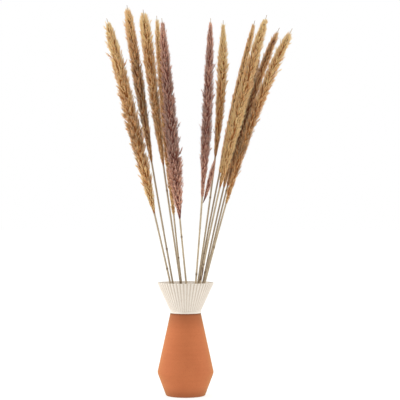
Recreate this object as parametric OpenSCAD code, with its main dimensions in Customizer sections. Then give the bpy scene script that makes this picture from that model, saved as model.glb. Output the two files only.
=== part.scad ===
// Dried pampas grass in a two-tone ceramic vase, in millimetres.
// The origin is the centre of the vase's foot, +Z is up and -Y is the front.
// The vase is a terracotta body with a fluted collar joined to its neck. Twelve reed stems
// stand on its floor, cross in the neck and fan out of the mouth. Each carries one plume.

/* [Vase body] */
// Height of the whole vase, from foot to rim
vase_h = 200; // [196:1:206]
// Height of the neck, where the collar sits on the body
neck_h = 146; // [142:1:150]
// Diameter of the foot where the side would meet the table
foot_d = 69; // [66:1:74]
// Diameter of the belly at the crease, before it is rounded
belly_d = 100; // [96:1:108]
// Height of the crease
belly_h = 41; // [36:1:46]
// Diameter of the neck
neck_d = 54; // [54:1:58]
// Wall thickness, measured level
wall = 4; // [3:0.5:4]
// Thickness of the floor under the stems
floor_t = 6; // [4:1:8]
// Radius that rounds the foot's edge
foot_round = 3; // [1:0.5:4]
// Radius that rounds the crease
crease_round = 12; // [4:1:16]

/* [Fluted collar] */
// Diameter of the rim
rim_d = 100; // [96:1:108]
// Number of flutes
flutes = 50; // [40:1:60]
// Depth of a flute at the rim
flute_depth = 1.3; // [0.6:0.1:1.6]
// Wall thickness at the rim, measured level
rim_wall = 3; // [2.6:0.2:4]
// Height of the plain band at the collar's lower edge
band_h = 3; // [2:0.5:4]
// How far the band stands out past the neck
band_out = 0.8; // [0.4:0.2:1.2]

/* [Stems] */
// Diameter of a stem at its foot
stem_foot_d = 3; // [2.4:0.1:3]
// Diameter of a stem where its plume starts
stem_top_d = 2.8; // [2:0.1:3]
// Diameter of a stem's tip
stem_tip_d = 0.9; // [0.8:0.1:1.2]
// Gap between the stems' feet and the vase's floor
foot_gap = 0.1; // [0.05:0.05:0.3]

/* [Plumes] */
// Gap between a plume and the stem that runs up through it
sleeve_gap = 0.3; // [0.2:0.1:0.5]
// Thinnest wall of a plume, at its two ends
sleeve_wall = 0.7; // [0.5:0.1:1]
// Length of bare stem tip above a plume
bare_tip = 8; // [4:1:12]
// Largest radius of the side sprig, which leaves the sixth stem under its plume
sprig_r = 3.4; // [2:0.1:3.6]

/* [Hidden] */
// One row per stem: foot [x, y] on the floor, mouth [x, y] at the rim's height, lean at the
// mouth in mm per 100 mm of rise, tip [x, y, z], droop (2 bends evenly, more bends late),
// height where the plume starts, the plume's largest radius, its tone, and its form: where
// it is widest, as a share of its length, and how pointed its foot and its tip are. A form
// of 1 is pointed, and a smaller one is blunter.
TAN = "#C29B64";
MAUVE = "#8F6F67";
BROWN = "#94744F";
STEMS = [
    // left group
    [[0, -20], [-27, -13], [-21, -4], [-137, -44, 662], 1.4, 320, 13, TAN, [0.45, 0.5, 0.3]],
    [[2, 13], [-23, 4], [-18, 1], [-105, 14, 694], 2.4, 410, 10.3, BROWN, [0.65, 0.5, 0.3]],
    [[6, -1], [-9, -5], [-15, -2], [-75, -14, 682], 2.4, 404, 11, TAN, [0.75, 0.5, 0.3]],
    [[-2, 27], [-8, 17], [-12, 7], [-53, 48, 680], 2, 314, 7.5, TAN, [0.5, 0.5, 0.3]],
    [[14, -2], [1, -5], [-10, -6], [-41, -48, 662], 2, 312, 11.8, MAUVE, [0.3, 0.4, 0.45]],
    // right group
    [[12, -24], [18, -17], [8, -7], [44, -62, 660], 2.4, 345, 9.8, MAUVE, [0.38, 0.8, 0.45]],
    [[-4, 16], [22, 11], [15, 2], [67, 22, 668], 3, 420, 9.8, TAN, [0.6, 0.5, 0.8]],
    [[-8, 20], [24, 18], [17, 8], [126, 74, 675], 2, 390, 6.8, BROWN, [0.5, 0.5, 0.3]],
    [[-6, -14], [26, -12], [18, -6], [142, -44, 668], 2, 366, 11.5, TAN, [0.42, 0.5, 0.3]],
    [[-10, 2], [33, 4], [24, 3], [168, 26, 655], 4, 366, 8.5, BROWN, [0.5, 0.5, 0.3]],
    [[-16, -6], [34, -7], [26, -2], [188, -18, 648], 3, 335, 10, TAN, [0.7, 0.5, 0.3]],
    [[-10, 8], [31, 11], [21, 10], [136, 80, 612], 2.6, 364, 7.5, BROWN, [0.45, 0.5, 0.4]],
];
// Ends of the side sprig's centre line: it starts against the sixth stem
SPRIG_FOOT = [30.6, -27, 340];
SPRIG_TIP = [52, -20, 418];
SPRIG_END_R = 0.4;
STEM_COLOR = "#B7A489";
STEM_SIDES = 8;
STEM_RINGS = 24;
PLUME_SIDES = 10;
PLUME_RINGS = 14;
BORE_RINGS = 8;
SPRIG_RINGS = 9;
ARC_STEPS = 8;
FLUTE_STEPS = 4;
BAND_STEPS = 4;
// Height over which the flutes run out into the band
FLUTE_RUN_IN = 0.6;

function two_digits(n) = str(n < 10 ? "0" : "", n);
function stem_name(n) = str("stem_", two_digits(n));
function plume_name(n) = str("plume_", two_digits(n));
NUMBERS = [1 : len(STEMS)];

// ---- the stems' and plumes' rules ----

function foot(s) = s[0];
function mouth(s) = s[1];
function lean(s) = s[2] / 100;
function tip_xy(s) = [s[3][0], s[3][1]];
function tip_z(s) = s[3][2];
function droop(s) = s[4];
function plume_z(s) = s[5];
function plume_r(s) = s[6];
function tone(s) = s[7];
function form(s) = s[8];

// Centre of stem s at height z: straight through the mouth at its lean, bent below it
// towards the foot and above it towards the tip.
function stem_xy(s, z) =
    z < vase_h
    ? let (run = vase_h - floor_t, down = vase_h - z)
        mouth(s) - lean(s) * down + (foot(s) - mouth(s) + lean(s) * run) * pow(down / run, 2)
    : let (run = tip_z(s) - vase_h, up = z - vase_h)
        mouth(s) + lean(s) * up + (tip_xy(s) - mouth(s) - lean(s) * run) * pow(up / run, droop(s));

function mix(a, b, share) = a + (b - a) * share;

// Radius of stem s at height z: it tapers up to the plume and again inside it.
function stem_r(s, z) =
    z < plume_z(s)
    ? mix(stem_foot_d, stem_top_d, (z - floor_t) / (plume_z(s) - floor_t)) / 2
    : mix(stem_top_d, stem_tip_d, (z - plume_z(s)) / (tip_z(s) - plume_z(s))) / 2;

// Girth of a plume at a share of its length: it swells from its foot to its widest place
// and narrows again to its tip.
function girth(share, form) =
    let (widest = form[0])
    share < widest
    ? pow(sin(90 * share / widest), form[1])
    : pow(max(0, cos(90 * (share - widest) / (1 - widest))), form[2]);

// Outer radius of stem s's plume at height z
function outer_r(s, z) =
    let (share = (z - plume_z(s)) / (tip_z(s) - bare_tip - plume_z(s)))
    max(
        plume_r(s) * girth(share, form(s)),
        stem_r(s, z) + sleeve_gap + sleeve_wall
    );

// Level ring of points round stem s at height z
function ring(s, z, r, sides) =
    let (c = stem_xy(s, z))
    [for (i = [0 : sides - 1]) let (a = 360 * i / sides) [c[0] + r * cos(a), c[1] + r * sin(a), z]];

// Heights of count rings from a to b
function levels(a, b, count) = [for (k = [0 : count - 1]) mix(a, b, k / (count - 1))];

// Solid skinned over rings of equal count, capped at its ends, or closed on itself as a sleeve
module skin(rings, sleeve = false) {
    n = len(rings[0]);
    count = len(rings);
    spans = sleeve ? count - 1 : count - 2;
    walls = [
        for (k = [0 : spans], i = [0 : n - 1])
            let (low = k * n, high = ((k + 1) % count) * n, j = (i + 1) % n)
            each [[low + i, high + i, high + j], [low + i, high + j, low + j]]
    ];
    caps = sleeve ? [] : [
        [for (i = [0 : n - 1]) i],
        [for (i = [n - 1 : -1 : 0]) (count - 1) * n + i]
    ];
    polyhedron(points = [for (r = rings) each r], faces = concat(walls, caps));
}

module stem(s) {
    color(STEM_COLOR)
        skin([
            for (z = levels(floor_t + foot_gap, tip_z(s), STEM_RINGS))
                ring(s, z, stem_r(s, z), STEM_SIDES)
        ]);
}

module plume(s) {
    low = plume_z(s);
    high = tip_z(s) - bare_tip;
    outside = [
        for (z = levels(low, high, PLUME_RINGS)) ring(s, z, outer_r(s, z), PLUME_SIDES)
    ];
    bore = [
        for (z = levels(high, low, BORE_RINGS))
            ring(s, z, stem_r(s, z) + sleeve_gap, PLUME_SIDES)
    ];
    color(tone(s)) skin(concat(outside, bore), sleeve = true);
}

// Level ring round the side sprig at a share of its length; it bows out from its plume
function sprig_ring(share) =
    let (
        span = SPRIG_TIP - SPRIG_FOOT,
        c = SPRIG_FOOT + [span[0] * pow(share, 0.85), span[1] * share, span[2] * share],
        r = max(SPRIG_END_R, sprig_r * pow(sin(180 * pow(share, 0.8)), 0.8))
    )
    [for (i = [0 : STEM_SIDES - 1])
        let (a = 360 * i / STEM_SIDES)
        c + r * [cos(a), sin(a), 0]];

module side_sprig() {
    color(MAUVE)
        skin([for (share = levels(0, 1, SPRIG_RINGS)) sprig_ring(share)]);
}

// ---- the vase ----

// Arc of radius r that rounds an outline's corner, where the outward normal turns from a0 to a1
function rounded(corner, r, a0, a1) =
    let (
        middle = (a0 + a1) / 2,
        centre = corner - r / cos((a1 - a0) / 2) * [cos(middle), sin(middle)]
    )
    [for (i = [0 : ARC_STEPS]) let (a = mix(a0, a1, i / ARC_STEPS)) centre + r * [cos(a), sin(a)]];

foot_r = foot_d / 2;
belly_r = belly_d / 2;
neck_r = neck_d / 2;
rim_r = rim_d / 2;
// Angles of the outward normals of the lower and upper cones
lower_normal = -atan((belly_r - foot_r) / belly_h);
upper_normal = atan((belly_r - neck_r) / (neck_h - belly_h));
// Radius of the lower cone's outside at the floor's height
floor_r = mix(foot_r, belly_r, floor_t / belly_h);

module vase_body() {
    outside = concat(
        [[0, 0]],
        rounded([foot_r, 0], foot_round, -90, lower_normal),
        rounded([belly_r, belly_h], crease_round, lower_normal, upper_normal),
        [[neck_r, neck_h]]
    );
    inside = [
        [neck_r - wall, neck_h],
        [belly_r - wall, belly_h],
        [floor_r - wall, floor_t],
        [0, floor_t]
    ];
    color("#C07044")
        rotate_extrude($fn = 96)
            polygon(concat(outside, inside));
}

// Level ring of the collar at height z above the neck: its ridges touch radius r, and the
// hollows between them lie depth inside it
function collar_ring(z, r, depth = 0) =
    let (steps = flutes * FLUTE_STEPS)
    [for (i = [0 : steps - 1])
        let (
            hollow = (1 - cos(360 * i / FLUTE_STEPS)) / 2,
            level = r - depth * hollow,
            a = 360 * i / steps
        )
        [level * cos(a), level * sin(a), neck_h + z]];

module vase_collar() {
    collar_h = vase_h - neck_h;
    band = [
        for (i = [0 : BAND_STEPS])
            let (a = mix(-90, 90, i / BAND_STEPS))
            collar_ring(band_h * (1 + sin(a)) / 2, neck_r + band_out * cos(a))
    ];
    fluted = [
        collar_ring(band_h + FLUTE_RUN_IN, neck_r, flute_depth * neck_r / rim_r),
        collar_ring(collar_h, rim_r, flute_depth)
    ];
    inside = [
        collar_ring(collar_h, rim_r - rim_wall),
        collar_ring(0, neck_r - wall)
    ];
    color("#E9E0D3") skin(concat(band, fluted, inside), sleeve = true);
}

vase_body();
vase_collar();
side_sprig();
for (n = NUMBERS) {
    stem(STEMS[n - 1]);
    plume(STEMS[n - 1]);
}
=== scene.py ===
# %% [markdown]
# # Dried pampas grass in a two-tone vase
# Twelve dried reed stems, each with one long plume, stand in a small ceramic vase. The
# vase is a terracotta body under a cream fluted collar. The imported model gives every
# size and place in metres, and this lesson builds the surfaces that the eye sees
# around it, piece by piece: camera, light, vase, stems, and then the plumes.

# %% Load the frame
import math
import random

import bpy
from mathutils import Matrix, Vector


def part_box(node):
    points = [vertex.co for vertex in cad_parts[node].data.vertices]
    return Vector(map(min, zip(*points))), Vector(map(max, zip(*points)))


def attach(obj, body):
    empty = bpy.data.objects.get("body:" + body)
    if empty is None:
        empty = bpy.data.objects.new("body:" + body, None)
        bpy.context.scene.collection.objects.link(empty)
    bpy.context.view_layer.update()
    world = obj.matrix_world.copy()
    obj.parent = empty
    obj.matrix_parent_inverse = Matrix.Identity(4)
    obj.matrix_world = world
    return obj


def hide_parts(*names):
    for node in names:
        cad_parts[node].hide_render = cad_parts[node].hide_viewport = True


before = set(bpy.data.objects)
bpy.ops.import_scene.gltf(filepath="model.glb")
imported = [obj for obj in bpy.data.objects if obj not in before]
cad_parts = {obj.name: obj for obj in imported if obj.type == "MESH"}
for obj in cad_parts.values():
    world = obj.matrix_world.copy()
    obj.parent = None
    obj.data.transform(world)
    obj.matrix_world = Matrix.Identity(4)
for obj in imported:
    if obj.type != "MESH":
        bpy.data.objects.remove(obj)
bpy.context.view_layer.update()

MM = 0.001
BODY = "root"

# %% [markdown]
# ## The camera
# A product picture of a tall, thin object is taken from far off, with a long lens, so
# that the stems don't lean outwards. The camera stands 2.4 m in front, a little below
# the middle of the plumes, and looks up by half a degree.

# %% Camera
CAMERA_PLACE = Vector((0.0255, -2.4, 0.327))
CAMERA_AIM = Vector((0.0255, 0.0, 0.346))
FIELD_OF_VIEW = math.radians(16.81)

camera_data = bpy.data.cameras.new("camera")
camera_data.angle = FIELD_OF_VIEW
camera_data.clip_end = 60.0
camera = bpy.data.objects.new("camera", camera_data)
camera.location = CAMERA_PLACE
camera.rotation_euler = (CAMERA_AIM - CAMERA_PLACE).to_track_quat("-Z", "Y").to_euler()
bpy.context.scene.collection.objects.link(camera)
bpy.context.scene.camera = camera
print("camera: field of view", round(math.degrees(FIELD_OF_VIEW), 2), "degrees")

# %% [markdown]
# ## Small helpers
# A shader works in linear light, and a colour picker shows sRGB, so one function turns
# a hex colour into linear numbers. A second adds one node with its settings and links,
# which keeps each material and each Geometry Nodes tree readable.

# %% Helpers for colours and nodes


def linear(hex_colour):
    """Linear RGBA of an sRGB colour such as #BD6E43."""
    channels = []
    for start in (1, 3, 5):
        value = int(hex_colour[start:start + 2], 16) / 255
        channels.append(value / 12.92 if value <= 0.04045 else ((value + 0.055) / 1.055) ** 2.4)
    return (*channels, 1.0)


def add_node(tree, kind, settings=None, inputs=None):
    """One node. An input's value is a number, a colour, or the socket that feeds it."""
    node = tree.nodes.new(kind)
    for name, value in (settings or {}).items():
        setattr(node, name, value)
    for key, value in (inputs or {}).items():
        if isinstance(value, bpy.types.NodeSocket):
            tree.links.new(value, node.inputs[key])
        else:
            node.inputs[key].default_value = value
    return node


# Socket numbers of the Mix node when it mixes colours
COLOUR_A = 6
COLOUR_B = 7
COLOUR_OUT = 2

# %% [markdown]
# ## Floor and light
# The object stands on a white sweep in an even, white room: light comes from all round,
# and one large soft panel on each side brightens the edges of the vase. The left panel is
# the stronger. The floor glows a little, so that it stays as pale as the room behind it.

# %% Floor
FLOOR_SIZE = 40.0
FLOOR_GLOW = 0.72

floor_mesh = bpy.data.meshes.new("studio_floor")
half = FLOOR_SIZE / 2
floor_corners = [(-half, -half, 0), (half, -half, 0), (half, half, 0), (-half, half, 0)]
floor_mesh.from_pydata(floor_corners, [], [(0, 1, 2, 3)])
floor = bpy.data.objects.new("studio_floor", floor_mesh)
bpy.context.scene.collection.objects.link(floor)

sweep = bpy.data.materials.new("white_studio_sweep")
sweep.use_nodes = True
sweep_shader = sweep.node_tree.nodes["Principled BSDF"]
sweep_shader.inputs["Base Color"].default_value = linear("#9C9C9A")
sweep_shader.inputs["Roughness"].default_value = 0.9
sweep_shader.inputs["Emission Color"].default_value = (1, 1, 1, 1)
sweep_shader.inputs["Emission Strength"].default_value = FLOOR_GLOW
floor_mesh.materials.append(sweep)
print("floor:", FLOOR_SIZE, "m square")

# %% Room and lamps
ROOM_LIGHT = 1.0
room = bpy.data.worlds.new("white_room")
room.use_nodes = True
room.node_tree.nodes["Background"].inputs["Color"].default_value = (1, 1, 1, 1)
room.node_tree.nodes["Background"].inputs["Strength"].default_value = ROOM_LIGHT
bpy.context.scene.world = room
bpy.context.scene.view_settings.view_transform = "Standard"

LAMP_AIM = Vector((0.01, 0.0, 0.32))
# name, place, watts, width, height
LAMPS = [
    ("panel_left", (-1.7, 0.2, 0.7), 17.5, 0.9, 1.5),
    ("panel_right", (1.7, 0.3, 0.65), 10.0, 0.9, 1.5),
]
for name, place, watts, width, height in LAMPS:
    lamp_data = bpy.data.lights.new(name, "AREA")
    lamp_data.shape = "RECTANGLE"
    lamp_data.size = width
    lamp_data.size_y = height
    lamp_data.energy = watts
    lamp = bpy.data.objects.new(name, lamp_data)
    lamp.location = place
    lamp.rotation_euler = (LAMP_AIM - Vector(place)).to_track_quat("-Z", "Y").to_euler()
    lamp.visible_camera = False
    bpy.context.scene.collection.objects.link(lamp)
print("lamps:", [row[0] for row in LAMPS])

# %% [markdown]
# ## Finishing a piece
# Geometry Nodes leave their result on a modifier. The evaluated object is turned into a
# plain mesh, which keeps its place in its own points, and then the piece is attached to
# the body it rides on, and the model part that it replaces is hidden.

# %% Helpers for pieces


def new_object(name, points, edges, faces):
    """A mesh object at the origin, from plain lists."""
    mesh = bpy.data.meshes.new(name)
    mesh.from_pydata(points, edges, faces)
    made = bpy.data.objects.new(name, mesh)
    bpy.context.scene.collection.objects.link(made)
    return made


def run_tree(piece, tree, values):
    """Puts a Geometry Nodes tree on a piece, sets its named inputs, and keeps the plain result."""
    modifier = piece.modifiers.new(tree.name, "NODES")
    modifier.node_group = tree
    for item in tree.interface.items_tree:
        if item.item_type == "SOCKET" and item.in_out == "INPUT" and item.name in values:
            modifier[item.identifier] = values[item.name]
    evaluated = piece.evaluated_get(bpy.context.evaluated_depsgraph_get())
    result = bpy.data.meshes.new_from_object(evaluated)
    piece.modifiers.remove(modifier)
    piece.data = result
    return piece


def finish_piece(piece, slot, *nodes):
    """Attaches a finished piece to its body, hides the model parts that it replaces, and prints its
    size. Its slot is not used.
    """
    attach(piece, BODY)
    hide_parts(*nodes)
    size = [round(v / MM) for v in piece.dimensions]
    piece.data.calc_loop_triangles()
    print(piece.name, "mm:", size, "triangles:", len(piece.data.loop_triangles))


# %% [markdown]
# ## Terracotta
# The body is unglazed red earthenware, cast or thrown and then sponged smooth. It gives
# the eye an even, dead matt orange, a little cloudy, with faint turning lines that run
# level round it, fine dark grit, and one pale pinhole low on the front. Its roughness is
# high and its gloss is low, because fired clay soaks up light in tiny pores.

# %% Terracotta colour
terracotta = bpy.data.materials.new("unglazed_terracotta")
terracotta.use_nodes = True
tree = terracotta.node_tree
shader = tree.nodes["Principled BSDF"]
place = add_node(tree, "ShaderNodeTexCoord").outputs["Object"]

# Clouds about 30 mm wide
clouds = add_node(
    tree, "ShaderNodeTexNoise", {},
    {"Vector": place, "Scale": 34.0, "Detail": 3.0, "Roughness": 0.6},
)
cloudy = add_node(
    tree, "ShaderNodeMix", {"data_type": "RGBA"},
    {0: clouds.outputs["Fac"], COLOUR_A: linear("#B26239"), COLOUR_B: linear("#C27247")},
)
# Turning lines about 2.2 mm apart, broken up by a slow noise
lines_place = add_node(
    tree, "ShaderNodeMapping", {}, {"Vector": place, "Scale": (14.0, 14.0, 450.0)}
)
lines = add_node(
    tree, "ShaderNodeTexNoise", {},
    {"Vector": lines_place.outputs["Vector"], "Scale": 1.0, "Detail": 2.0, "Roughness": 0.5},
)
lined = add_node(
    tree, "ShaderNodeMix", {"data_type": "RGBA", "blend_type": "MULTIPLY"},
    {
        0: 0.35,
        COLOUR_A: cloudy.outputs[COLOUR_OUT],
        COLOUR_B: add_node(
            tree, "ShaderNodeMapRange", {},
            {"Value": lines.outputs["Fac"], "From Min": 0.35, "From Max": 0.65,
             "To Min": 0.94, "To Max": 1.03},
        ).outputs["Result"],
    },
)
print("nodes for clouds and turning lines:", len(tree.nodes))

# %% Painted shade, grit and a pinhole
# Painted shade: the clay is drawn a little darker at the foot and by the collar, and
# darkest in the last few millimetres under the collar, where its shadow falls
height = add_node(tree, "ShaderNodeSeparateXYZ", {}, {0: place}).outputs["Z"]
by_collar = add_node(
    tree, "ShaderNodeMapRange", {"interpolation_type": "SMOOTHSTEP"},
    {"Value": height, "From Min": 112 * MM, "From Max": 147 * MM, "To Min": 1.0, "To Max": 0.72},
)
under_collar = add_node(
    tree, "ShaderNodeMapRange", {"interpolation_type": "SMOOTHSTEP"},
    {"Value": height, "From Min": 141 * MM, "From Max": 147 * MM, "To Min": 1.0, "To Max": 0.5},
)
by_foot = add_node(
    tree, "ShaderNodeMapRange", {"interpolation_type": "SMOOTHSTEP"},
    {"Value": height, "From Min": -4 * MM, "From Max": 22 * MM, "To Min": 0.66, "To Max": 1.0},
)
painted_collar_shade = add_node(
    tree, "ShaderNodeMath", {"operation": "MULTIPLY"},
    {0: by_collar.outputs["Result"], 1: under_collar.outputs["Result"]},
)
painted_shade = add_node(
    tree, "ShaderNodeMath", {"operation": "MULTIPLY"},
    {0: painted_collar_shade.outputs["Value"], 1: by_foot.outputs["Result"]},
)
# The painted shade darkens the lined clay colour
shaded_clay = add_node(
    tree, "ShaderNodeMix", {"data_type": "RGBA", "blend_type": "MULTIPLY"},
    {0: 1.0, COLOUR_A: lined.outputs[COLOUR_OUT], COLOUR_B: painted_shade.outputs["Value"]},
)
# Grit is real at 0.2 mm, and drawn at about 0.8 mm so that it shows
grit = add_node(
    tree, "ShaderNodeTexVoronoi", {}, {"Vector": place, "Scale": 420.0, "Randomness": 1.0}
)
grit_spots = add_node(
    tree, "ShaderNodeMapRange", {},
    {"Value": grit.outputs["Distance"], "From Min": 0.16, "From Max": 0.3,
     "To Min": 0.32, "To Max": 0.0},
)
gritty = add_node(
    tree, "ShaderNodeMix", {"data_type": "RGBA"},
    {
        0: grit_spots.outputs["Result"],
        COLOUR_A: shaded_clay.outputs[COLOUR_OUT],
        COLOUR_B: linear("#96502E"),
    },
)
# The pinhole: a pale ring-shaped scar 2 mm wide
PINHOLE = Vector((8.7, -49.0, 33.0)) * MM
pinhole_reach = add_node(
    tree, "ShaderNodeVectorMath", {"operation": "DISTANCE"}, {0: place, 1: PINHOLE}
)
pinhole_mark = add_node(
    tree, "ShaderNodeMapRange", {"interpolation_type": "SMOOTHSTEP"},
    {"Value": pinhole_reach.outputs["Value"], "From Min": 1.0 * MM, "From Max": 2.2 * MM,
     "To Min": 0.75, "To Max": 0.0},
)
marked = add_node(
    tree, "ShaderNodeMix", {"data_type": "RGBA"},
    {
        0: pinhole_mark.outputs["Result"],
        COLOUR_A: gritty.outputs[COLOUR_OUT],
        COLOUR_B: linear("#E2A176"),
    },
)
tree.links.new(marked.outputs[COLOUR_OUT], shader.inputs["Base Color"])
print("nodes with the marks:", len(tree.nodes))

# %% Terracotta relief and gloss
# Fine pores for the light to catch on
pores = add_node(
    tree, "ShaderNodeTexNoise", {}, {"Vector": place, "Scale": 900.0, "Detail": 2.0}
)
relief = add_node(
    tree, "ShaderNodeMath", {"operation": "MULTIPLY_ADD"},
    {0: lines.outputs["Fac"], 1: 1.6, 2: pores.outputs["Fac"]},
)
bump = add_node(
    tree, "ShaderNodeBump", {},
    {"Height": relief.outputs["Value"], "Strength": 0.12, "Distance": 0.2 * MM},
)
tree.links.new(bump.outputs["Normal"], shader.inputs["Normal"])
matt = add_node(
    tree, "ShaderNodeMapRange", {},
    {"Value": clouds.outputs["Fac"], "To Min": 0.78, "To Max": 0.92},
)
tree.links.new(matt.outputs["Result"], shader.inputs["Roughness"])
shader.inputs["IOR"].default_value = 1.45
shader.inputs["Specular IOR Level"].default_value = 0.35
# Clay dust on the skin makes the edges of the vase paler and more yellow
shader.inputs["Sheen Weight"].default_value = 0.2
shader.inputs["Sheen Roughness"].default_value = 0.4
shader.inputs["Sheen Tint"].default_value = linear("#E4FF90")
print("terracotta nodes:", len(tree.nodes))

# %% [markdown]
# ## Cream bisque
# The collar is white stoneware fired without glaze. Potters call that bisque: it is
# chalky and warm white, with almost no gloss. The hollows between its ribs are drawn
# darker and greyer, as painted shade. The ribs' own tree leaves an attribute named hollow,
# from 0 on a rib to 1 between two ribs, and the material darkens by it for that painted shade.

# %% Cream bisque material
bisque = bpy.data.materials.new("cream_bisque")
bisque.use_nodes = True
tree = bisque.node_tree
shader = tree.nodes["Principled BSDF"]
place = add_node(tree, "ShaderNodeTexCoord").outputs["Object"]
hollow = add_node(tree, "ShaderNodeAttribute", {"attribute_name": "hollow"})
chalk = add_node(
    tree, "ShaderNodeTexNoise", {}, {"Vector": place, "Scale": 90.0, "Detail": 4.0}
)
chalky = add_node(
    tree, "ShaderNodeMix", {"data_type": "RGBA"},
    {0: chalk.outputs["Fac"], COLOUR_A: linear("#DBD2C6"), COLOUR_B: linear("#E8E0D5")},
)
# Painted shade: the hollows between the ribs are drawn darker and greyer
groove_shade = add_node(
    tree, "ShaderNodeMath", {"operation": "MULTIPLY"}, {0: hollow.outputs["Fac"], 1: 0.8}
)
groove_shaded = add_node(
    tree, "ShaderNodeMix", {"data_type": "RGBA"},
    {
        0: groove_shade.outputs["Value"],
        COLOUR_A: chalky.outputs[COLOUR_OUT],
        COLOUR_B: linear("#B8A894"),
    },
)
tree.links.new(groove_shaded.outputs[COLOUR_OUT], shader.inputs["Base Color"])
grain = add_node(
    tree, "ShaderNodeTexNoise", {}, {"Vector": place, "Scale": 1100.0, "Detail": 2.0}
)
bump = add_node(
    tree, "ShaderNodeBump", {},
    {"Height": grain.outputs["Fac"], "Strength": 0.2, "Distance": 0.15 * MM},
)
tree.links.new(bump.outputs["Normal"], shader.inputs["Normal"])
shader.inputs["Roughness"].default_value = 0.82
shader.inputs["IOR"].default_value = 1.5
shader.inputs["Specular IOR Level"].default_value = 0.3
print("bisque nodes:", len(tree.nodes))

# %% [markdown]
# ## The vase's body
# A body like this is thrown on a wheel or cast in a round mould, so it is a lathe shape:
# one outline swept round an axis. Bmesh or the Screw modifier could sweep it. Here a
# short function places the rings itself, because each ring can then carry the small
# ridges that a turning tool leaves, which a bump alone wouldn't show on the edge.

# %% Lathe


def lathe(name, rings, sides, closed=False):
    """Mesh from (radius, height) rings. It ends in poles of radius 0, or is closed on itself."""
    points = []
    faces = []
    starts = []
    for radius, height in rings:
        starts.append(len(points))
        count = sides if radius > 0 else 1
        for i in range(count):
            a = math.tau * i / sides
            points.append((radius * math.cos(a), radius * math.sin(a), height))
    for k in range(len(rings) if closed else len(rings) - 1):
        after = (k + 1) % len(rings)
        low = starts[k]
        high = starts[after]
        for i in range(sides):
            j = (i + 1) % sides
            if rings[k][0] == 0:
                faces.append((low, high + j, high + i))
            elif rings[after][0] == 0:
                faces.append((low + i, low + j, high))
            else:
                faces.append((low + i, low + j, high + j, high + i))
    made = new_object(name, points, [], faces)
    made.data.shade_smooth()
    return made


def arc(corner, radius, start, end, steps):
    """Points that round an outline's corner while its outward normal turns from start to end."""
    middle = (start + end) / 2
    reach = radius / math.cos((end - start) / 2)
    cx = corner[0] - reach * math.cos(middle)
    cz = corner[1] - reach * math.sin(middle)
    points = []
    for i in range(steps + 1):
        a = start + (end - start) * i / steps
        points.append((cx + radius * math.cos(a), cz + radius * math.sin(a)))
    return points


# %% Sizes of the body
NECK_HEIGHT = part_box("vase_body")[1].z
FOOT_RADIUS = 34.5 * MM
CREASE_RADIUS = 50.0 * MM
CREASE_HEIGHT = 41.0 * MM
NECK_RADIUS = 27.0 * MM
WALL = 4.0 * MM
FLOOR_THICK = 6.0 * MM
FOOT_ROUND = 3.0 * MM
CREASE_ROUND = 12.0 * MM
LATHE_SIDES = 192
# Ridges left by turning: their height, the distance from one to the next, and the heights
# over which they fade in above the foot and out below the neck
RIDGE = 0.02 * MM
RIDGE_PITCH = 2.6 * MM
RIDGE_FROM = 4.0 * MM
RIDGE_FULL = 10.0 * MM
RIDGE_FADE = 3.0 * MM
# The longest straight run between two rings
RING_STEP = 1.0 * MM
print("neck height in mm:", round(NECK_HEIGHT / MM, 1))

# %% Outline of the body
lower_tilt = -math.atan2(CREASE_RADIUS - FOOT_RADIUS, CREASE_HEIGHT)
upper_tilt = math.atan2(CREASE_RADIUS - NECK_RADIUS, NECK_HEIGHT - CREASE_HEIGHT)
outline = arc((FOOT_RADIUS, 0), FOOT_ROUND, -math.pi / 2, lower_tilt, 8)
outline += arc((CREASE_RADIUS, CREASE_HEIGHT), CREASE_ROUND, lower_tilt, upper_tilt, 12)
outline += [(NECK_RADIUS, NECK_HEIGHT)]

# Long straight runs are cut into short ones, so that the ridges have rings to bend
finer = [outline[0]]
for start, end in zip(outline, outline[1:]):
    cuts = max(1, round(math.dist(start, end) / RING_STEP))
    for k in range(1, cuts + 1):
        finer.append((
            start[0] + (end[0] - start[0]) * k / cuts,
            start[1] + (end[1] - start[1]) * k / cuts,
        ))
outside = []
for radius, height in finer:
    fade_in = max(0.0, (height - RIDGE_FROM) / (RIDGE_FULL - RIDGE_FROM))
    clear = min(1.0, fade_in, (NECK_HEIGHT - height) / RIDGE_FADE)
    # A second, weaker wave of another length keeps the ridges from looking even
    ridge = math.sin(math.tau * height / RIDGE_PITCH) + 0.5 * math.sin(9 + 2100 * height)
    outside.append((radius + RIDGE * clear * ridge * 0.6 - RIDGE * clear, height))
print("rings outside:", len(outside))

# %% Vase body
floor_radius = FOOT_RADIUS + (CREASE_RADIUS - FOOT_RADIUS) * FLOOR_THICK / CREASE_HEIGHT
inside = [
    (NECK_RADIUS - WALL, NECK_HEIGHT),
    (CREASE_RADIUS - WALL, CREASE_HEIGHT),
    (floor_radius - WALL, FLOOR_THICK),
    (0, FLOOR_THICK),
]
vase_body = lathe("terracotta_body", [(0, 0)] + outside + inside, LATHE_SIDES)
vase_body.data.materials.append(terracotta)
finish_piece(vase_body, "terracotta", "vase_body")

# %% [markdown]
# ## The fluted collar
# The collar opens from the neck to the rim in fine upright ribs, fifty in all, with a
# plain rounded band where it meets the body. On the real one the ribs come from the
# mould. They could be cut one by one and copied round, but they follow a rule: every
# point moves in by an amount that depends on its angle. So a smooth collar is made on the
# lathe, and a Geometry Nodes tree presses the flutes into its outer side.

# %% Collar blank
RIM_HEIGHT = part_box("vase_collar")[1].z
RIM_RADIUS = 50.0 * MM
RIM_WALL = 3.0 * MM
RIM_CROWN = 0.9 * MM
BAND_HEIGHT = 3.0 * MM
BAND_OUT = 0.8 * MM
FLUTES = 50
FLUTE_DEPTH = 1.35 * MM
# Bare step between the band and the lower end of the flutes
FLUTE_GAP = 0.4 * MM
POINTS_PER_FLUTE = 12
FLUTE_ROWS = 18
LINING_ROWS = 12
BAND_STEPS = 8
CROWN_STEPS = 8

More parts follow.
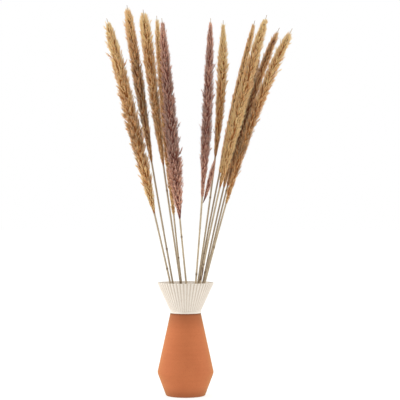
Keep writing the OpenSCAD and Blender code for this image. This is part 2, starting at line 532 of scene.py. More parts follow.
# Each ring is (radius, height, how far the flutes are pressed in there, from 0 to 1)
collar_rings = []
for i in range(BAND_STEPS + 1):
    a = -math.pi / 2 + math.pi * i / BAND_STEPS
    radius = NECK_RADIUS + BAND_OUT * math.cos(a)
    collar_rings.append((radius, NECK_HEIGHT + BAND_HEIGHT * (1 + math.sin(a)) / 2, 0.0))
flute_low = NECK_HEIGHT + BAND_HEIGHT + FLUTE_GAP
flute_high = RIM_HEIGHT - RIM_CROWN
for k in range(FLUTE_ROWS + 1):
    share = k / FLUTE_ROWS
    radius = NECK_RADIUS + (RIM_RADIUS - NECK_RADIUS) * share
    collar_rings.append((radius, flute_low + (flute_high - flute_low) * share, radius / RIM_RADIUS))
for i in range(1, CROWN_STEPS):
    a = math.pi * i / CROWN_STEPS
    radius = RIM_RADIUS - RIM_WALL / 2 * (1 - math.cos(a))
    collar_rings.append((radius, flute_high + RIM_CROWN * math.sin(a), (1 + math.cos(a)) / 2))
for k in range(LINING_ROWS + 1):
    share = k / LINING_ROWS
    radius = RIM_RADIUS - RIM_WALL + (NECK_RADIUS - WALL - RIM_RADIUS + RIM_WALL) * share
    collar_rings.append((radius, flute_high + (NECK_HEIGHT - flute_high) * share, 0.0))

collar_sides = FLUTES * POINTS_PER_FLUTE
collar = lathe("fluted_collar", [row[:2] for row in collar_rings], collar_sides, closed=True)
pressed = collar.data.attributes.new("pressed", "FLOAT", "POINT")
pressed.data.foreach_set("value", [row[2] for row in collar_rings for _ in range(collar_sides)])
print("collar blank:", len(collar_rings), "rings of", collar_sides)

# %% Helpers for trees


def new_tree(name, sockets):
    """An empty Geometry Nodes tree with named inputs, its input node, and its final link."""
    made = bpy.data.node_groups.new(name, "GeometryNodeTree")
    made.interface.new_socket("Geometry", in_out="INPUT", socket_type="NodeSocketGeometry")
    for title, kind in sockets:
        made.interface.new_socket(title, in_out="INPUT", socket_type="NodeSocket" + kind)
    made.interface.new_socket("Geometry", in_out="OUTPUT", socket_type="NodeSocketGeometry")
    return made, made.nodes.new("NodeGroupInput").outputs


def end_tree(made, geometry, material):
    """Realizes the instances, shades them smooth and sets the material, as every tree here ends."""
    real = add_node(made, "GeometryNodeRealizeInstances", {}, {"Geometry": geometry})
    smooth = add_node(made, "GeometryNodeSetShadeSmooth", {}, {0: real.outputs[0]})
    coated = add_node(
        made, "GeometryNodeSetMaterial", {}, {"Geometry": smooth.outputs[0], "Material": material}
    )
    add_node(made, "NodeGroupOutput", {}, {"Geometry": coated.outputs[0]})
    print(made.name, "tree:", len(made.nodes), "nodes")


# %% Flute tree
flute_tree, given = new_tree(
    "press_flutes", [("Flutes", "Float"), ("Depth", "Float"), ("Material", "Material")]
)
where = add_node(flute_tree, "GeometryNodeInputPosition").outputs[0]
axes = add_node(flute_tree, "ShaderNodeSeparateXYZ", {}, {0: where})
angle = add_node(
    flute_tree, "ShaderNodeMath", {"operation": "ARCTAN2"},
    {0: axes.outputs["Y"], 1: axes.outputs["X"]},
)
half_turns = add_node(
    flute_tree, "ShaderNodeMath", {"operation": "MULTIPLY"}, {0: given["Flutes"], 1: 0.5}
)
phase = add_node(
    flute_tree, "ShaderNodeMath", {"operation": "MULTIPLY"},
    {0: angle.outputs[0], 1: half_turns.outputs[0]},
)
wave = add_node(flute_tree, "ShaderNodeMath", {"operation": "SINE"}, {0: phase.outputs[0]})
rib = add_node(flute_tree, "ShaderNodeMath", {"operation": "ABSOLUTE"}, {0: wave.outputs[0]})
gap = add_node(flute_tree, "ShaderNodeMath", {"operation": "SUBTRACT"}, {0: 1.0, 1: rib.outputs[0]})
share = add_node(flute_tree, "GeometryNodeInputNamedAttribute", {}, {"Name": "pressed"})
sunk = add_node(
    flute_tree, "ShaderNodeMath", {"operation": "MULTIPLY"},
    {0: gap.outputs[0], 1: share.outputs["Attribute"]},
)
remembered = add_node(
    flute_tree, "GeometryNodeStoreNamedAttribute", {},
    {"Geometry": given["Geometry"], "Name": "hollow", "Value": sunk.outputs[0]},
)
depth = add_node(
    flute_tree, "ShaderNodeMath", {"operation": "MULTIPLY"},
    {0: sunk.outputs[0], 1: given["Depth"]},
)
level = add_node(
    flute_tree, "ShaderNodeVectorMath", {"operation": "MULTIPLY"}, {0: where, 1: (-1, -1, 0)}
)
inward = add_node(
    flute_tree, "ShaderNodeVectorMath", {"operation": "NORMALIZE"}, {0: level.outputs[0]}
)
push = add_node(
    flute_tree, "ShaderNodeVectorMath", {"operation": "SCALE"},
    {0: inward.outputs[0], "Scale": depth.outputs[0]},
)
carved = add_node(
    flute_tree, "GeometryNodeSetPosition", {},
    {"Geometry": remembered.outputs[0], "Offset": push.outputs[0]},
)
end_tree(flute_tree, carved.outputs[0], given["Material"])

# %% Flute the collar
run_tree(collar, flute_tree, {"Flutes": float(FLUTES), "Depth": FLUTE_DEPTH, "Material": bisque})
finish_piece(collar, "cream_bisque", "vase_collar")

# %% [markdown]
# ## Dried reed
# A reed stem is a hollow grass stalk, smooth and slightly waxy, straw-grey when dry. It
# has long fine streaks, a ring-shaped joint every hand's width, darker just under the
# joint, and here and there a brown shred of the leaf sheath. Its gloss is low but it isn't
# chalky like the vase. The streaks are a noise stretched along the stem, and joint, sheath
# and stem tone come in as attributes that the stem's tree writes.

# %% Reed streaks, tone and joints
reed = bpy.data.materials.new("dried_reed_stem")
reed.use_nodes = True
tree = reed.node_tree
shader = tree.nodes["Principled BSDF"]
place = add_node(tree, "ShaderNodeTexCoord").outputs["Object"]
streak_place = add_node(
    tree, "ShaderNodeMapping", {}, {"Vector": place, "Scale": (1500.0, 1500.0, 22.0)}
)
streaks = add_node(
    tree, "ShaderNodeTexNoise", {},
    {"Vector": streak_place.outputs["Vector"], "Scale": 1.0, "Detail": 2.0},
)
streak_share = add_node(
    tree, "ShaderNodeMapRange", {},
    {"Value": streaks.outputs["Fac"], "From Min": 0.3, "From Max": 0.7},
)
streaked = add_node(
    tree, "ShaderNodeMix", {"data_type": "RGBA"},
    {
        0: streak_share.outputs["Result"],
        COLOUR_A: linear("#8A7860"),
        COLOUR_B: linear("#D0BD9C"),
    },
)
stem_tone = add_node(tree, "ShaderNodeAttribute", {"attribute_name": "tone"})
toned = add_node(
    tree, "ShaderNodeMix", {"data_type": "RGBA"},
    {
        0: stem_tone.outputs["Fac"],
        COLOUR_A: streaked.outputs[COLOUR_OUT],
        COLOUR_B: linear("#7F6C58"),
    },
)
joint = add_node(tree, "ShaderNodeAttribute", {"attribute_name": "joint"})
jointed = add_node(
    tree, "ShaderNodeMix", {"data_type": "RGBA"},
    {0: joint.outputs["Fac"], COLOUR_A: toned.outputs[COLOUR_OUT], COLOUR_B: linear("#6E563A")},
)
print("nodes with the joints:", len(tree.nodes))

# %% Reed sheath, relief and gloss
# The shred of sheath is torn along the stem, so its brown comes and goes in streaks 2 mm wide
sheath = add_node(tree, "ShaderNodeAttribute", {"attribute_name": "sheath"})
tear_place = add_node(
    tree, "ShaderNodeMapping", {}, {"Vector": place, "Scale": (480.0, 480.0, 25.0)}
)
tears = add_node(
    tree, "ShaderNodeTexNoise", {}, {"Vector": tear_place.outputs["Vector"], "Scale": 1.0}
)
torn = add_node(
    tree, "ShaderNodeMapRange", {},
    {"Value": tears.outputs["Fac"], "From Min": 0.38, "From Max": 0.46},
)
shred = add_node(
    tree, "ShaderNodeMath", {"operation": "MULTIPLY"},
    {0: sheath.outputs["Fac"], 1: torn.outputs["Result"]},
)
sheathed = add_node(
    tree, "ShaderNodeMix", {"data_type": "RGBA"},
    {
        0: shred.outputs["Value"],
        COLOUR_A: jointed.outputs[COLOUR_OUT],
        COLOUR_B: linear("#5A3A22"),
    },
)
tree.links.new(sheathed.outputs[COLOUR_OUT], shader.inputs["Base Color"])
bump = add_node(
    tree, "ShaderNodeBump", {},
    {"Height": streaks.outputs["Fac"], "Strength": 0.35, "Distance": 0.2 * MM},
)
tree.links.new(bump.outputs["Normal"], shader.inputs["Normal"])
shader.inputs["Roughness"].default_value = 0.55
shader.inputs["IOR"].default_value = 1.48
print("reed nodes:", len(tree.nodes))

# %% [markdown]
# ## The stems
# Each stem bends its own way: it stands on the vase's floor, leans on the rim and droops
# a little under its plume. The model already holds that line as rings, so a helper reads
# the centre and radius of every ring, and a Geometry Nodes tree draws a tube along it.
# A bevelled curve would give the tube as well, but not the joints and the sheath.

# %% Rings of a model piece
# Corners of the model that are closer in height than this are on one ring
LEVEL_GAP = 0.1 * MM


def rings_of(node):
    """(centre, radius) at each level of a skinned solid, from the bottom."""
    corners = {tuple(round(c, 6) for c in v.co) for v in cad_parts[node].data.vertices}
    levels = []
    for point in sorted(corners, key=lambda corner: corner[2]):
        if not levels or point[2] - levels[-1][0][2] > LEVEL_GAP:
            levels.append([])
        levels[-1].append(Vector(point))
    rows = []
    for level in levels:
        centre = sum(level, Vector()) / len(level)
        rows.append((centre, max((point - centre).length for point in level)))
    return rows


def spine(name, points, values):
    """A line of points as a mesh, with one named number per point for each entry of values."""
    edges = [(k, k + 1) for k in range(len(points) - 1)]
    made = new_object(name, points, edges, [])
    for title, numbers in values.items():
        attribute = made.data.attributes.new(title, "FLOAT", "POINT")
        attribute.data.foreach_set("value", numbers)
    return made


# %% Line of a stem
stem_tree, given = new_tree("reed_stem", [
    ("Step", "Float"),
    ("Sides", "Int"),
    ("Joint spacing", "Float"),
    ("First joint", "Float"),
    ("Joint half width", "Float"),
    ("Joint swell", "Float"),
    ("Sheath from", "Float"),
    ("Sheath to", "Float"),
    ("Sheath thickness", "Float"),
    ("Material", "Material"),
])
line = add_node(stem_tree, "GeometryNodeMeshToCurve", {}, {0: given["Geometry"]})
bent = add_node(
    stem_tree, "GeometryNodeCurveSplineType", {"spline_type": "CATMULL_ROM"},
    {"Curve": line.outputs[0]},
)
even = add_node(
    stem_tree, "GeometryNodeResampleCurve", {"mode": "LENGTH"},
    {"Curve": bent.outputs[0], "Length": given["Step"]},
)
print("stem tree:", len(stem_tree.nodes), "nodes")

# %% Joints and sheath
# A joint's closeness is 1 on it and falls to 0 at its half width
run = add_node(stem_tree, "GeometryNodeSplineParameter").outputs["Length"]
shifted = add_node(
    stem_tree, "ShaderNodeMath", {"operation": "SUBTRACT"}, {0: run, 1: given["First joint"]}
)
half_spacing = add_node(
    stem_tree, "ShaderNodeMath", {"operation": "MULTIPLY"}, {0: given["Joint spacing"], 1: 0.5}
)
from_joint = add_node(
    stem_tree, "ShaderNodeMath", {"operation": "PINGPONG"},
    {0: shifted.outputs[0], 1: half_spacing.outputs[0]},
)
closeness = add_node(
    stem_tree, "ShaderNodeMapRange", {"interpolation_type": "SMOOTHSTEP"},
    {"Value": from_joint.outputs[0], "From Min": 0.0, "From Max": given["Joint half width"],
     "To Min": 1.0, "To Max": 0.0},
)
here = add_node(stem_tree, "GeometryNodeInputPosition").outputs[0]
height = add_node(stem_tree, "ShaderNodeSeparateXYZ", {}, {0: here})
over_low = add_node(
    stem_tree, "ShaderNodeMath", {"operation": "GREATER_THAN"},
    {0: height.outputs["Z"], 1: given["Sheath from"]},
)
under_high = add_node(
    stem_tree, "ShaderNodeMath", {"operation": "LESS_THAN"},
    {0: height.outputs["Z"], 1: given["Sheath to"]},
)
covered = add_node(
    stem_tree, "ShaderNodeMath", {"operation": "MULTIPLY"},
    {0: over_low.outputs[0], 1: under_high.outputs[0]},
)
marked_joints = add_node(
    stem_tree, "GeometryNodeStoreNamedAttribute", {},
    {"Geometry": even.outputs[0], "Name": "joint", "Value": closeness.outputs["Result"]},
)
marked_sheath = add_node(
    stem_tree, "GeometryNodeStoreNamedAttribute", {},
    {"Geometry": marked_joints.outputs[0], "Name": "sheath", "Value": covered.outputs[0]},
)
print("stem tree:", len(stem_tree.nodes), "nodes")

# %% Tube of a stem
thick = add_node(stem_tree, "GeometryNodeInputNamedAttribute", {}, {"Name": "thick"})
swelling = add_node(
    stem_tree, "ShaderNodeMath", {"operation": "MULTIPLY_ADD"},
    {0: closeness.outputs["Result"], 1: given["Joint swell"], 2: 1.0},
)
swollen = add_node(
    stem_tree, "ShaderNodeMath", {"operation": "MULTIPLY"},
    {0: thick.outputs["Attribute"], 1: swelling.outputs[0]},
)
wrapped = add_node(
    stem_tree, "ShaderNodeMath", {"operation": "MULTIPLY_ADD"},
    {0: covered.outputs[0], 1: given["Sheath thickness"], 2: swollen.outputs[0]},
)
round_profile = add_node(
    stem_tree, "GeometryNodeCurvePrimitiveCircle", {}, {"Resolution": given["Sides"], "Radius": 1.0}
)
tube = add_node(
    stem_tree, "GeometryNodeCurveToMesh", {},
    {
        "Curve": marked_sheath.outputs[0],
        "Profile Curve": round_profile.outputs[0],
        "Scale": wrapped.outputs[0],
        "Fill Caps": True,
    },
)
end_tree(stem_tree, tube.outputs[0], given["Material"])

# %% Stems
# Tone of each stem, from 0 pale to 1 brown, and the height of its first joint in mm
STEM_LOOKS = {
    "stem_01": (0.25, 58),
    "stem_02": (0.45, 92),
    "stem_03": (0.40, 31),
    "stem_04": (0.20, 74),
    "stem_05": (0.05, 112),
    "stem_06": (0.05, 46),
    "stem_07": (0.35, 20),
    "stem_08": (0.55, 84),
    "stem_09": (0.15, 66),
    "stem_10": (0.50, 38),
    "stem_11": (0.10, 101),
    "stem_12": (0.60, 52),
}
# The model's stems are kept thin so that they stay clear of one another in the neck, and
# the real ones are a little fuller
STEM_FULLNESS = 1.15
# The shred of leaf sheath that one stem keeps just over the rim: stem, from, to, in mm
SHEATH = ("stem_09", 205.0, 228.0)
for name, (tone, first_joint) in STEM_LOOKS.items():
    rows = rings_of(name)
    stem = spine(name.replace("stem", "reed_stem"), [row[0] for row in rows], {
        "thick": [row[1] * STEM_FULLNESS for row in rows],
        "tone": [tone] * len(rows),
    })
    run_tree(stem, stem_tree, {
        "Step": 2.0 * MM,
        "Sides": 10,
        "Joint spacing": 164.0 * MM,
        "First joint": first_joint * MM,
        "Joint half width": 3.2 * MM,
        "Joint swell": 0.22,
        "Sheath from": SHEATH[1] * MM if name == SHEATH[0] else -1.0,
        "Sheath to": SHEATH[2] * MM if name == SHEATH[0] else -1.0,
        "Sheath thickness": 0.2 * MM,
        "Material": reed,
    })
    finish_piece(stem, "dried_stem", name)

# %% [markdown]
# ## Plume fibre
# A plume is thousands of silky hairs round small seed husks. Dried, they are straw, brown
# or dull mauve. The hairs scatter light. Each one is drawn dark where it leaves the plume,
# partly its own colour and partly painted shade of the plume's deep inside, and pale and a
# little shiny at its tip, and that is what draws the herringbone of tufts that the eye
# sees. Three attributes carry this: hair runs from 0 at a root to 1 at a tip, tone is one
# random number per tuft, and shade darkens or lightens parts of a plume.

# %% Fibre colours
# slot: root colour, dark body, pale body, hair tips
FIBRE_COLOURS = {
    "plume_tan": ("#8A5220", "#E29448", "#FFDC96", "#FFEABC"),
    "plume_brown": ("#6C3E1C", "#CC7E3C", "#FFD088", "#FFE7B8"),
    "plume_mauve": ("#663428", "#B0684E", "#F8BC9A", "#FFDECA"),
}
# Where the dark body lies on the way from pale, 0, to the root colour, 1
DARK_STOP = 0.6
# How far one tuft, and one patch of husks, may move from a plume's own shade
TUFT_SPREAD = 0.32
PATCH_SPREAD = 0.25
print("fibre slots:", list(FIBRE_COLOURS))

# %% Fibre materials
fibres = {}
for slot_name, (root_hex, dark_hex, pale_hex, tip_hex) in FIBRE_COLOURS.items():
    fibre = bpy.data.materials.new(slot_name.replace("plume", "silky_fibre"))
    fibre.use_nodes = True
    tree = fibre.node_tree
    shader = tree.nodes["Principled BSDF"]
    hair = add_node(tree, "ShaderNodeAttribute", {"attribute_name": "hair"})
    tone = add_node(tree, "ShaderNodeAttribute", {"attribute_name": "tone"})
    shade = add_node(tree, "ShaderNodeAttribute", {"attribute_name": "shade"})
    # The random tone moves each tuft a little along the way from pale to dark
    spread = add_node(
        tree, "ShaderNodeMapRange", {},
        {"Value": tone.outputs["Fac"], "To Min": -TUFT_SPREAD, "To Max": TUFT_SPREAD},
    )
    # Seed husks show through in patches about 5 mm wide and 10 mm tall
    place = add_node(tree, "ShaderNodeTexCoord").outputs["Object"]
    patch_place = add_node(
        tree, "ShaderNodeMapping", {}, {"Vector": place, "Scale": (200.0, 200.0, 90.0)}
    )
    patches = add_node(
        tree, "ShaderNodeTexNoise", {},
        {"Vector": patch_place.outputs["Vector"], "Scale": 1.0, "Detail": 1.0},
    )
    patchy = add_node(
        tree, "ShaderNodeMapRange", {},
        {"Value": patches.outputs["Fac"], "From Min": 0.35, "From Max": 0.65,
         "To Min": -PATCH_SPREAD, "To Max": PATCH_SPREAD},
    )
    uneven = add_node(
        tree, "ShaderNodeMath", {"operation": "ADD"},
        {0: spread.outputs["Result"], 1: patchy.outputs["Result"]},
    )
    depth = add_node(
        tree, "ShaderNodeMath", {"operation": "ADD", "use_clamp": True},
        {0: shade.outputs["Fac"], 1: uneven.outputs["Value"]},
    )
    body_colour = add_node(tree, "ShaderNodeValToRGB", {}, {"Fac": depth.outputs["Value"]})
    stops = body_colour.color_ramp.elements
    stops[0].color = linear(pale_hex)
    stops[1].color = linear(root_hex)
    stops.new(DARK_STOP).color = linear(dark_hex)
    # Painted shade in part: each hair starts in the dark root colour, partly its own colour and
    # partly standing in for the shade deep inside the plume
    from_root = add_node(
        tree, "ShaderNodeMapRange", {"interpolation_type": "SMOOTHSTEP"},
        {"Value": hair.outputs["Fac"], "From Min": 0.0, "From Max": 0.26},
    )
    grown = add_node(
        tree, "ShaderNodeMix", {"data_type": "RGBA"},
        {
            0: from_root.outputs["Result"],
            COLOUR_A: linear(root_hex),
            COLOUR_B: body_colour.outputs["Color"],
        },
    )
    to_tip = add_node(
        tree, "ShaderNodeMapRange", {},
        {"Value": hair.outputs["Fac"], "From Min": 0.35, "From Max": 0.95,
         "To Min": 0.0, "To Max": 0.7},
    )
    tipped = add_node(
        tree, "ShaderNodeMix", {"data_type": "RGBA"},
        {
            0: to_tip.outputs["Result"],
            COLOUR_A: grown.outputs[COLOUR_OUT],
            COLOUR_B: linear(tip_hex),
        },
    )
    tree.links.new(tipped.outputs[COLOUR_OUT], shader.inputs["Base Color"])
    shader.inputs["Roughness"].default_value = 0.6
    shader.inputs["IOR"].default_value = 1.5
    shader.inputs["Specular IOR Level"].default_value = 0.25
    shader.inputs["Sheen Weight"].default_value = 0.35
    shader.inputs["Sheen Roughness"].default_value = 0.4
    shader.inputs["Sheen Tint"].default_value = linear(tip_hex)
    fibres[slot_name] = fibre
print("fibres:", sorted(fibres))

# %% [markdown]
# ## One tuft
# A plume's side branches are small feathers: a short axis that sheds hairs to all sides
# and up. Hair curves or particle hair could draw them, but a piece here has to be a closed
# mesh, so each hair is a slim three-sided spindle, bent a little. Five different tufts are
# enough, because turning, scaling and mixing them hides that they repeat.

# %% Sizes of a tuft
HAIRS_PER_TUFT = 13
TUFT_KINDS = 5
FIRST_TUFT_SEED = 40
# A tuft's axis is bare up to this share of its length, because the plume's core hides it,
# and hairs leave it over the next share
BARE_SHARE = 0.38
HAIRY_SHARE = 0.38
# Shortest and longest hair, thinnest and thickest, and how far a root may be off the axis,
# all as shares of the tuft's length; and how far a hair leans out, in degrees
HAIR_LENGTH = (0.18, 0.3)
HAIR_THICKNESS = (0.01, 0.017)
ROOT_JITTER = 0.015
HAIR_LEAN = (4, 19)

# %% One hair


def add_hair(points, faces, shares, start, end, bow, thickness, start_share, end_share):
    """One spindle from start to end that bows sideways. It has 5 points and 6 triangles."""
    along = end - start
    side = along.orthogonal().normalized()
    other = along.cross(side).normalized()
    first = len(points)
    points.append(start)
    shares.append(start_share)
    centre = start + along / 2 + bow
    for i in range(3):
        a = math.tau * i / 3
        points.append(centre + (side * math.cos(a) + other * math.sin(a)) * thickness)
        shares.append((start_share + end_share) / 2)
    points.append(end)
    shares.append(end_share)
    ring = first + 1
    last = first + 4
    for i in range(3):
        j = (i + 1) % 3
        faces.append((first, ring + j, ring + i))
        faces.append((ring + i, ring + j, last))


# %% Tufts


def tuft(name, seed):
    """A tuft of unit length that points up +Z and leans its hairs out to +X."""
    chance = random.Random(seed)
    points = []
    faces = []
    shares = []
    for h in range(HAIRS_PER_TUFT):
        up = h / HAIRS_PER_TUFT
        length = chance.uniform(*HAIR_LENGTH)
        lean = math.radians(chance.uniform(*HAIR_LEAN)) * (1 - 0.4 * up)
        turn = chance.uniform(0, math.tau)
        direction = Vector((
            math.sin(lean) * math.cos(turn) + 0.1,
            math.sin(lean) * math.sin(turn) * 1.3,
            math.cos(lean),
        )).normalized()
        start = Vector((0, 0, BARE_SHARE + HAIRY_SHARE * up))
        start += Vector((chance.uniform(-1, 1), chance.uniform(-1, 1), 0)) * ROOT_JITTER
        bow = Vector((direction.x, direction.y, 0)) * length * chance.uniform(0.05, 0.25)
        add_hair(
            points, faces, shares, start, start + direction * length, bow,
            chance.uniform(*HAIR_THICKNESS), 0.6 * up, 0.5 + 0.5 * up,
        )
    made = bpy.data.objects.new(name, bpy.data.meshes.new(name))
    made.data.from_pydata(points, [], faces)
    attribute = made.data.attributes.new("hair", "FLOAT", "POINT")
    attribute.data.foreach_set("value", shares)
    return made


tufts = bpy.data.collections.new("tufts")
for kind in range(TUFT_KINDS):
    tufts.objects.link(tuft(f"tuft_{kind}", FIRST_TUFT_SEED + kind))
print("tufts:", TUFT_KINDS, "of", HAIRS_PER_TUFT, "hairs")

# %% [markdown]
# ## The plume tree
# The tree walks up a plume's centre line and sets a tuft every quarter of a millimetre or
# so, each turned by the golden angle from the one below, as side branches grow, so that no
# gap repeats. A tuft's length grows with the plume's radius there, and its tilt is the angle
# at which its tips just reach that radius. A core fills a little over half of the radius,
# so that no light shows through; it takes the dark root colour, as painted shade of the
# plume's deep inside. A few tufts are longer, and stray out.

# %% Line of a plume
plume_tree, given = new_tree("plume", [
    ("Spacing", "Float"),
    ("Turn", "Float"),
    ("Fullness", "Float"),
    ("Least length", "Float"),
    ("Length per radius", "Float"),
    ("Stray length", "Float"),
    ("Core share", "Float"),
    ("Kinds", "Int"),
    ("Seed", "Int"),
    ("Tufts", "Collection"),
    ("Material", "Material"),
])
line = add_node(plume_tree, "GeometryNodeMeshToCurve", {}, {0: given["Geometry"]})
bent = add_node(
    plume_tree, "GeometryNodeCurveSplineType", {"spline_type": "CATMULL_ROM"},
    {"Curve": line.outputs[0]},
)
even = add_node(
    plume_tree, "GeometryNodeResampleCurve", {"mode": "LENGTH"},
    {"Curve": bent.outputs[0], "Length": given["Spacing"]},
)
reach_read = add_node(plume_tree, "GeometryNodeInputNamedAttribute", {}, {"Name": "reach"})
reach = reach_read.outputs["Attribute"]
print("plume tree:", len(plume_tree.nodes), "nodes")

# %% Core of a plume
# The core carries no hair attribute, so it takes the dark root colour: painted shade of the plume's
# deep inside
core_radius = add_node(
    plume_tree, "ShaderNodeMath", {"operation": "MULTIPLY"}, {0: reach, 1: given["Core share"]}
)
core_profile = add_node(
    plume_tree, "GeometryNodeCurvePrimitiveCircle", {}, {"Resolution": 8, "Radius": 1.0}
)
core = add_node(
    plume_tree, "GeometryNodeCurveToMesh", {},
    {
        "Curve": even.outputs[0],
        "Profile Curve": core_profile.outputs[0],
        "Scale": core_radius.outputs[0],
        "Fill Caps": True,
    },
)
print("plume tree:", len(plume_tree.nodes), "nodes")

# %% Random numbers
# One set per tuft, each with its own seed: smallest, largest, added to the seed
DRAWS = [
    (0.85, 1.12, 1),
    (0.85, 1.15, 2),
    (-0.35, 0.35, 3),
    (0.0, 1.0, 4),
    (0.0, 1.0, 5),
]
draws = []
for low, high, step in DRAWS:
    own_seed = add_node(
        plume_tree, "ShaderNodeMath", {"operation": "ADD"}, {0: given["Seed"], 1: float(step)}
    )
    draws.append(add_node(
        plume_tree, "FunctionNodeRandomValue", {"data_type": "FLOAT"},
        {2: low, 3: high, "Seed": own_seed.outputs[0]},
    ).outputs[1])
length_draw, tilt_draw, turn_draw, stray_draw, tone_draw = draws
kind_draw = add_node(
    plume_tree, "FunctionNodeRandomValue", {"data_type": "INT"},
    {4: 0, 5: given["Kinds"], "Seed": given["Seed"]},
).outputs[2]
print("plume tree:", len(plume_tree.nodes), "nodes")

# %% Length and tilt of a tuft
# The tilt is the angle whose sine is the reach over that length
plain_length = add_node(
    plume_tree, "ShaderNodeMath", {"operation": "MULTIPLY_ADD"},
    {0: reach, 1: given["Length per radius"], 2: given["Least length"]},
)
full_reach = add_node(
    plume_tree, "ShaderNodeMath", {"operation": "MULTIPLY"}, {0: reach, 1: given["Fullness"]}
)
sine = add_node(
    plume_tree, "ShaderNodeMath", {"operation": "DIVIDE"},
    {0: full_reach.outputs[0], 1: plain_length.outputs[0]},
)
tilt = add_node(plume_tree, "ShaderNodeMath", {"operation": "ARCSINE"}, {0: sine.outputs[0]})
own_tilt = add_node(
    plume_tree, "ShaderNodeMath", {"operation": "MULTIPLY"}, {0: tilt.outputs[0], 1: tilt_draw}
)
stray_share = add_node(plume_tree, "GeometryNodeInputNamedAttribute", {}, {"Name": "strays"})
is_stray = add_node(
    plume_tree, "ShaderNodeMath", {"operation": "LESS_THAN"},
    {0: stray_draw, 1: stray_share.outputs["Attribute"]},
)
stray_more = add_node(
    plume_tree, "ShaderNodeMath", {"operation": "MULTIPLY_ADD"},
    {0: is_stray.outputs[0], 1: given["Stray length"], 2: length_draw},
)
own_length = add_node(
    plume_tree, "ShaderNodeMath", {"operation": "MULTIPLY"},
    {0: plain_length.outputs[0], 1: stray_more.outputs[0]},
)
print("plume tree:", len(plume_tree.nodes), "nodes")

# %% Turn the tufts and plant them
# Turn round the stem: the golden angle times the tuft's number, and a little more
number = add_node(plume_tree, "GeometryNodeInputIndex").outputs[0]
turned = add_node(
    plume_tree, "ShaderNodeMath", {"operation": "MULTIPLY_ADD"},
    {0: number, 1: given["Turn"], 2: turn_draw},
)
tilt_and_turn = add_node(
    plume_tree, "ShaderNodeCombineXYZ", {}, {"Y": own_tilt.outputs[0], "Z": turned.outputs[0]}
)
outward = add_node(
    plume_tree, "FunctionNodeEulerToRotation", {}, {"Euler": tilt_and_turn.outputs[0]}
)
stops = add_node(
    plume_tree, "GeometryNodeCurveToPoints", {"mode": "EVALUATED"}, {"Curve": even.outputs[0]}
)
upward = add_node(
    plume_tree, "FunctionNodeAlignRotationToVector", {"axis": "Z"},
    {"Vector": stops.outputs["Tangent"]},
)
placed = add_node(
    plume_tree, "FunctionNodeRotateRotation", {"rotation_space": "LOCAL"},
    {"Rotation": upward.outputs[0], "Rotate By": outward.outputs[0]},
)
toned = add_node(
    plume_tree, "GeometryNodeStoreNamedAttribute", {},
    {"Geometry": stops.outputs["Points"], "Name": "tone", "Value": tone_draw},
)
kinds = add_node(
    plume_tree, "GeometryNodeCollectionInfo", {},
    {"Collection": given["Tufts"], "Separate Children": True, "Reset Children": True},
)
planted = add_node(
    plume_tree, "GeometryNodeInstanceOnPoints", {},
    {
        "Points": toned.outputs[0],
        "Instance": kinds.outputs[0],
        "Pick Instance": True,
        "Instance Index": kind_draw,
        "Rotation": placed.outputs[0],
        "Scale": own_length.outputs[0],
    },
)
whole = add_node(plume_tree, "GeometryNodeJoinGeometry", {}, {0: core.outputs[0]})
plume_tree.links.new(planted.outputs[0], whole.inputs[0])
end_tree(plume_tree, whole.outputs[0], given["Material"])

# %% [markdown]
# ## The plumes
# Twelve plumes and one small side sprig use the same tree with their own line, radius,
# colour and seed. A plume isn't one colour from end to end: the top ripens last and stays
# golden, and the middle is brown. Each row below gives how dark a plume is at four heights,
# from 0 pale to 1 dark. The dark rows of plume_10 and plume_12, which stand behind and
# between the others, are partly painted shadow. A number below 0 leaves hardly any tuft dark.

# %% Looks of the plumes
GOLDEN_ANGLE = math.radians(137.508)
# Each plume's seed; a tree adds up to 5 to it, so the step is larger than that
FIRST_PLUME_SEED = 100
SEED_STEP = 10
# The last tuft's root lies this far under the plume's tip, because its hairs reach on up
TIP_HAIRS = 8.0 * MM
# A model plume has inner rings round its stem as well, all thinner than this
BORE_REACH = 1.8 * MM
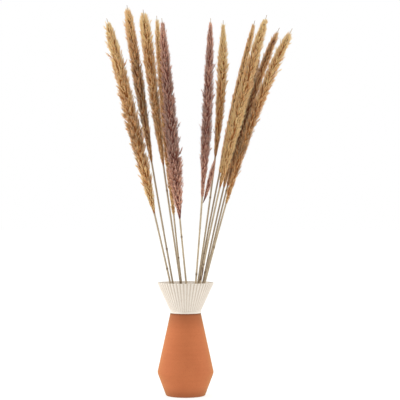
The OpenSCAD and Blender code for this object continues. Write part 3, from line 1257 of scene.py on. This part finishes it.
# node: slot, shade and share of strays, each from the bottom to the top, tuft spacing and
# least length in mm, and girth against the model's
PLUME_LOOKS = {
    "plume_01": ("plume_tan", (-0.1, 0.75, 0.45, -0.25), (0.25, 0.12, 0.06, 0.02), 0.26, 8.0, 1.0),
    "plume_02": ("plume_brown", (0.55, 0.95, 0.5, -0.4), (0.1, 0.02, 0.02, 0.03), 0.25, 8.0, 1.0),
    "plume_03": ("plume_tan", (0.5, 0.8, 0.55, -0.3), (0.1, 0.02, 0.02, 0.02), 0.25, 8.0, 1.0),
    "plume_04": ("plume_tan", (0.2, 0.75, 0.55, -0.1), (0.1, 0.02, 0.02, 0.02), 0.3, 8.0, 1.0),
    "plume_05": ("plume_mauve", (-0.1, 0.75, 0.75, 0.15), (0.4, 0.06, 0.02, 0.02), 0.26, 8.0, 1.04),
    "plume_06": ("plume_mauve", (0.0, 0.85, 0.65, 0.2), (0.05, 0.03, 0.02, 0.02), 0.28, 8.0, 1.0),
    "plume_07": ("plume_tan", (0.8, 0.5, 0.05, -0.3), (0.1, 0.03, 0.03, 0.04), 0.25, 8.0, 1.0),
    "plume_08": ("plume_brown", (0.1, 0.1, 0.1, 0.1), (0.1, 0.02, 0.02, 0.02), 0.3, 8.0, 1.0),
    "plume_09": ("plume_tan", (0.15, 0.1, 0.4, -0.3), (0.12, 0.03, 0.03, 0.04), 0.26, 8.0, 1.0),
    # plume_10's dark rows are partly painted shadow of the plumes round it
    "plume_10": ("plume_brown", (0.75, 0.95, 0.7, 0.35), (0.1, 0.02, 0.02, 0.02), 0.3, 8.0, 1.0),
    "plume_11": ("plume_tan", (0.35, 0.9, 0.35, -0.2), (0.15, 0.05, 0.03, 0.04), 0.28, 8.0, 1.0),
    # plume_12's dark rows are partly painted shadow of the plumes in front of it
    "plume_12": ("plume_brown", (0.5, 0.75, 0.7, 0.65), (0.1, 0.02, 0.02, 0.02), 0.3, 8.0, 1.0),
    "side_sprig": ("plume_mauve", (0.0, 0.0, 0.0, 0.0), (0.0, 0.0, 0.0, 0.0), 0.36, 7.0, 1.4),
}
# The tip of every plume is a little slimmer than its model, over this top share of it
TIP_SHARE = 0.14
TIP_SLIMMER = 0.2
print("plumes and sprig:", len(PLUME_LOOKS))

# %% Values along a plume


def blend_of(values, share):
    """Value at a share of the way along evenly spaced values."""
    place = share * (len(values) - 1)
    low = min(int(place), len(values) - 2)
    return values[low] + (values[low + 1] - values[low]) * (place - low)


def slimmed(share):
    """How much of its girth a plume keeps at a share of its height."""
    return 1 - TIP_SLIMMER * min(1.0, max(0.0, (share - 1 + TIP_SHARE) / TIP_SHARE))


# %% Plumes
for count, (node, looks) in enumerate(PLUME_LOOKS.items()):
    slot_name, shades, strays, spacing, least, girth = looks
    rings = rings_of(node)
    low = rings[0][0].z
    high = rings[-1][0].z
    rows = [row for row in rings if row[1] > BORE_REACH or row[0].z in (low, high)]
    # The line stops where the last tuft is rooted
    kept = 1 - TIP_HAIRS / (rows[-1][0].z - rows[-2][0].z)
    last_reach = rows[-2][1] + (rows[-1][1] - rows[-2][1]) * kept
    rows[-1] = (rows[-2][0].lerp(rows[-1][0], kept), last_reach)
    heights = [(row[0].z - low) / (high - low) for row in rows]
    plume = spine(node, [row[0] for row in rows], {
        "reach": [row[1] * girth * slimmed(share) for row, share in zip(rows, heights)],
        "shade": [blend_of(shades, min(1.0, share)) for share in heights],
        "strays": [blend_of(strays, min(1.0, share)) for share in heights],
    })
    run_tree(plume, plume_tree, {
        "Spacing": spacing * MM,
        "Turn": GOLDEN_ANGLE,
        "Fullness": 1.02,
        "Least length": least * MM,
        "Length per radius": 1.35,
        "Stray length": 0.35,
        "Core share": 0.58,
        "Kinds": TUFT_KINDS - 1,
        "Seed": FIRST_PLUME_SEED + SEED_STEP * count,
        "Tufts": tufts,
        "Material": fibres[slot_name],
    })
    finish_piece(plume, slot_name, node)

# %% Finish
bpy.data.collections.remove(tufts)
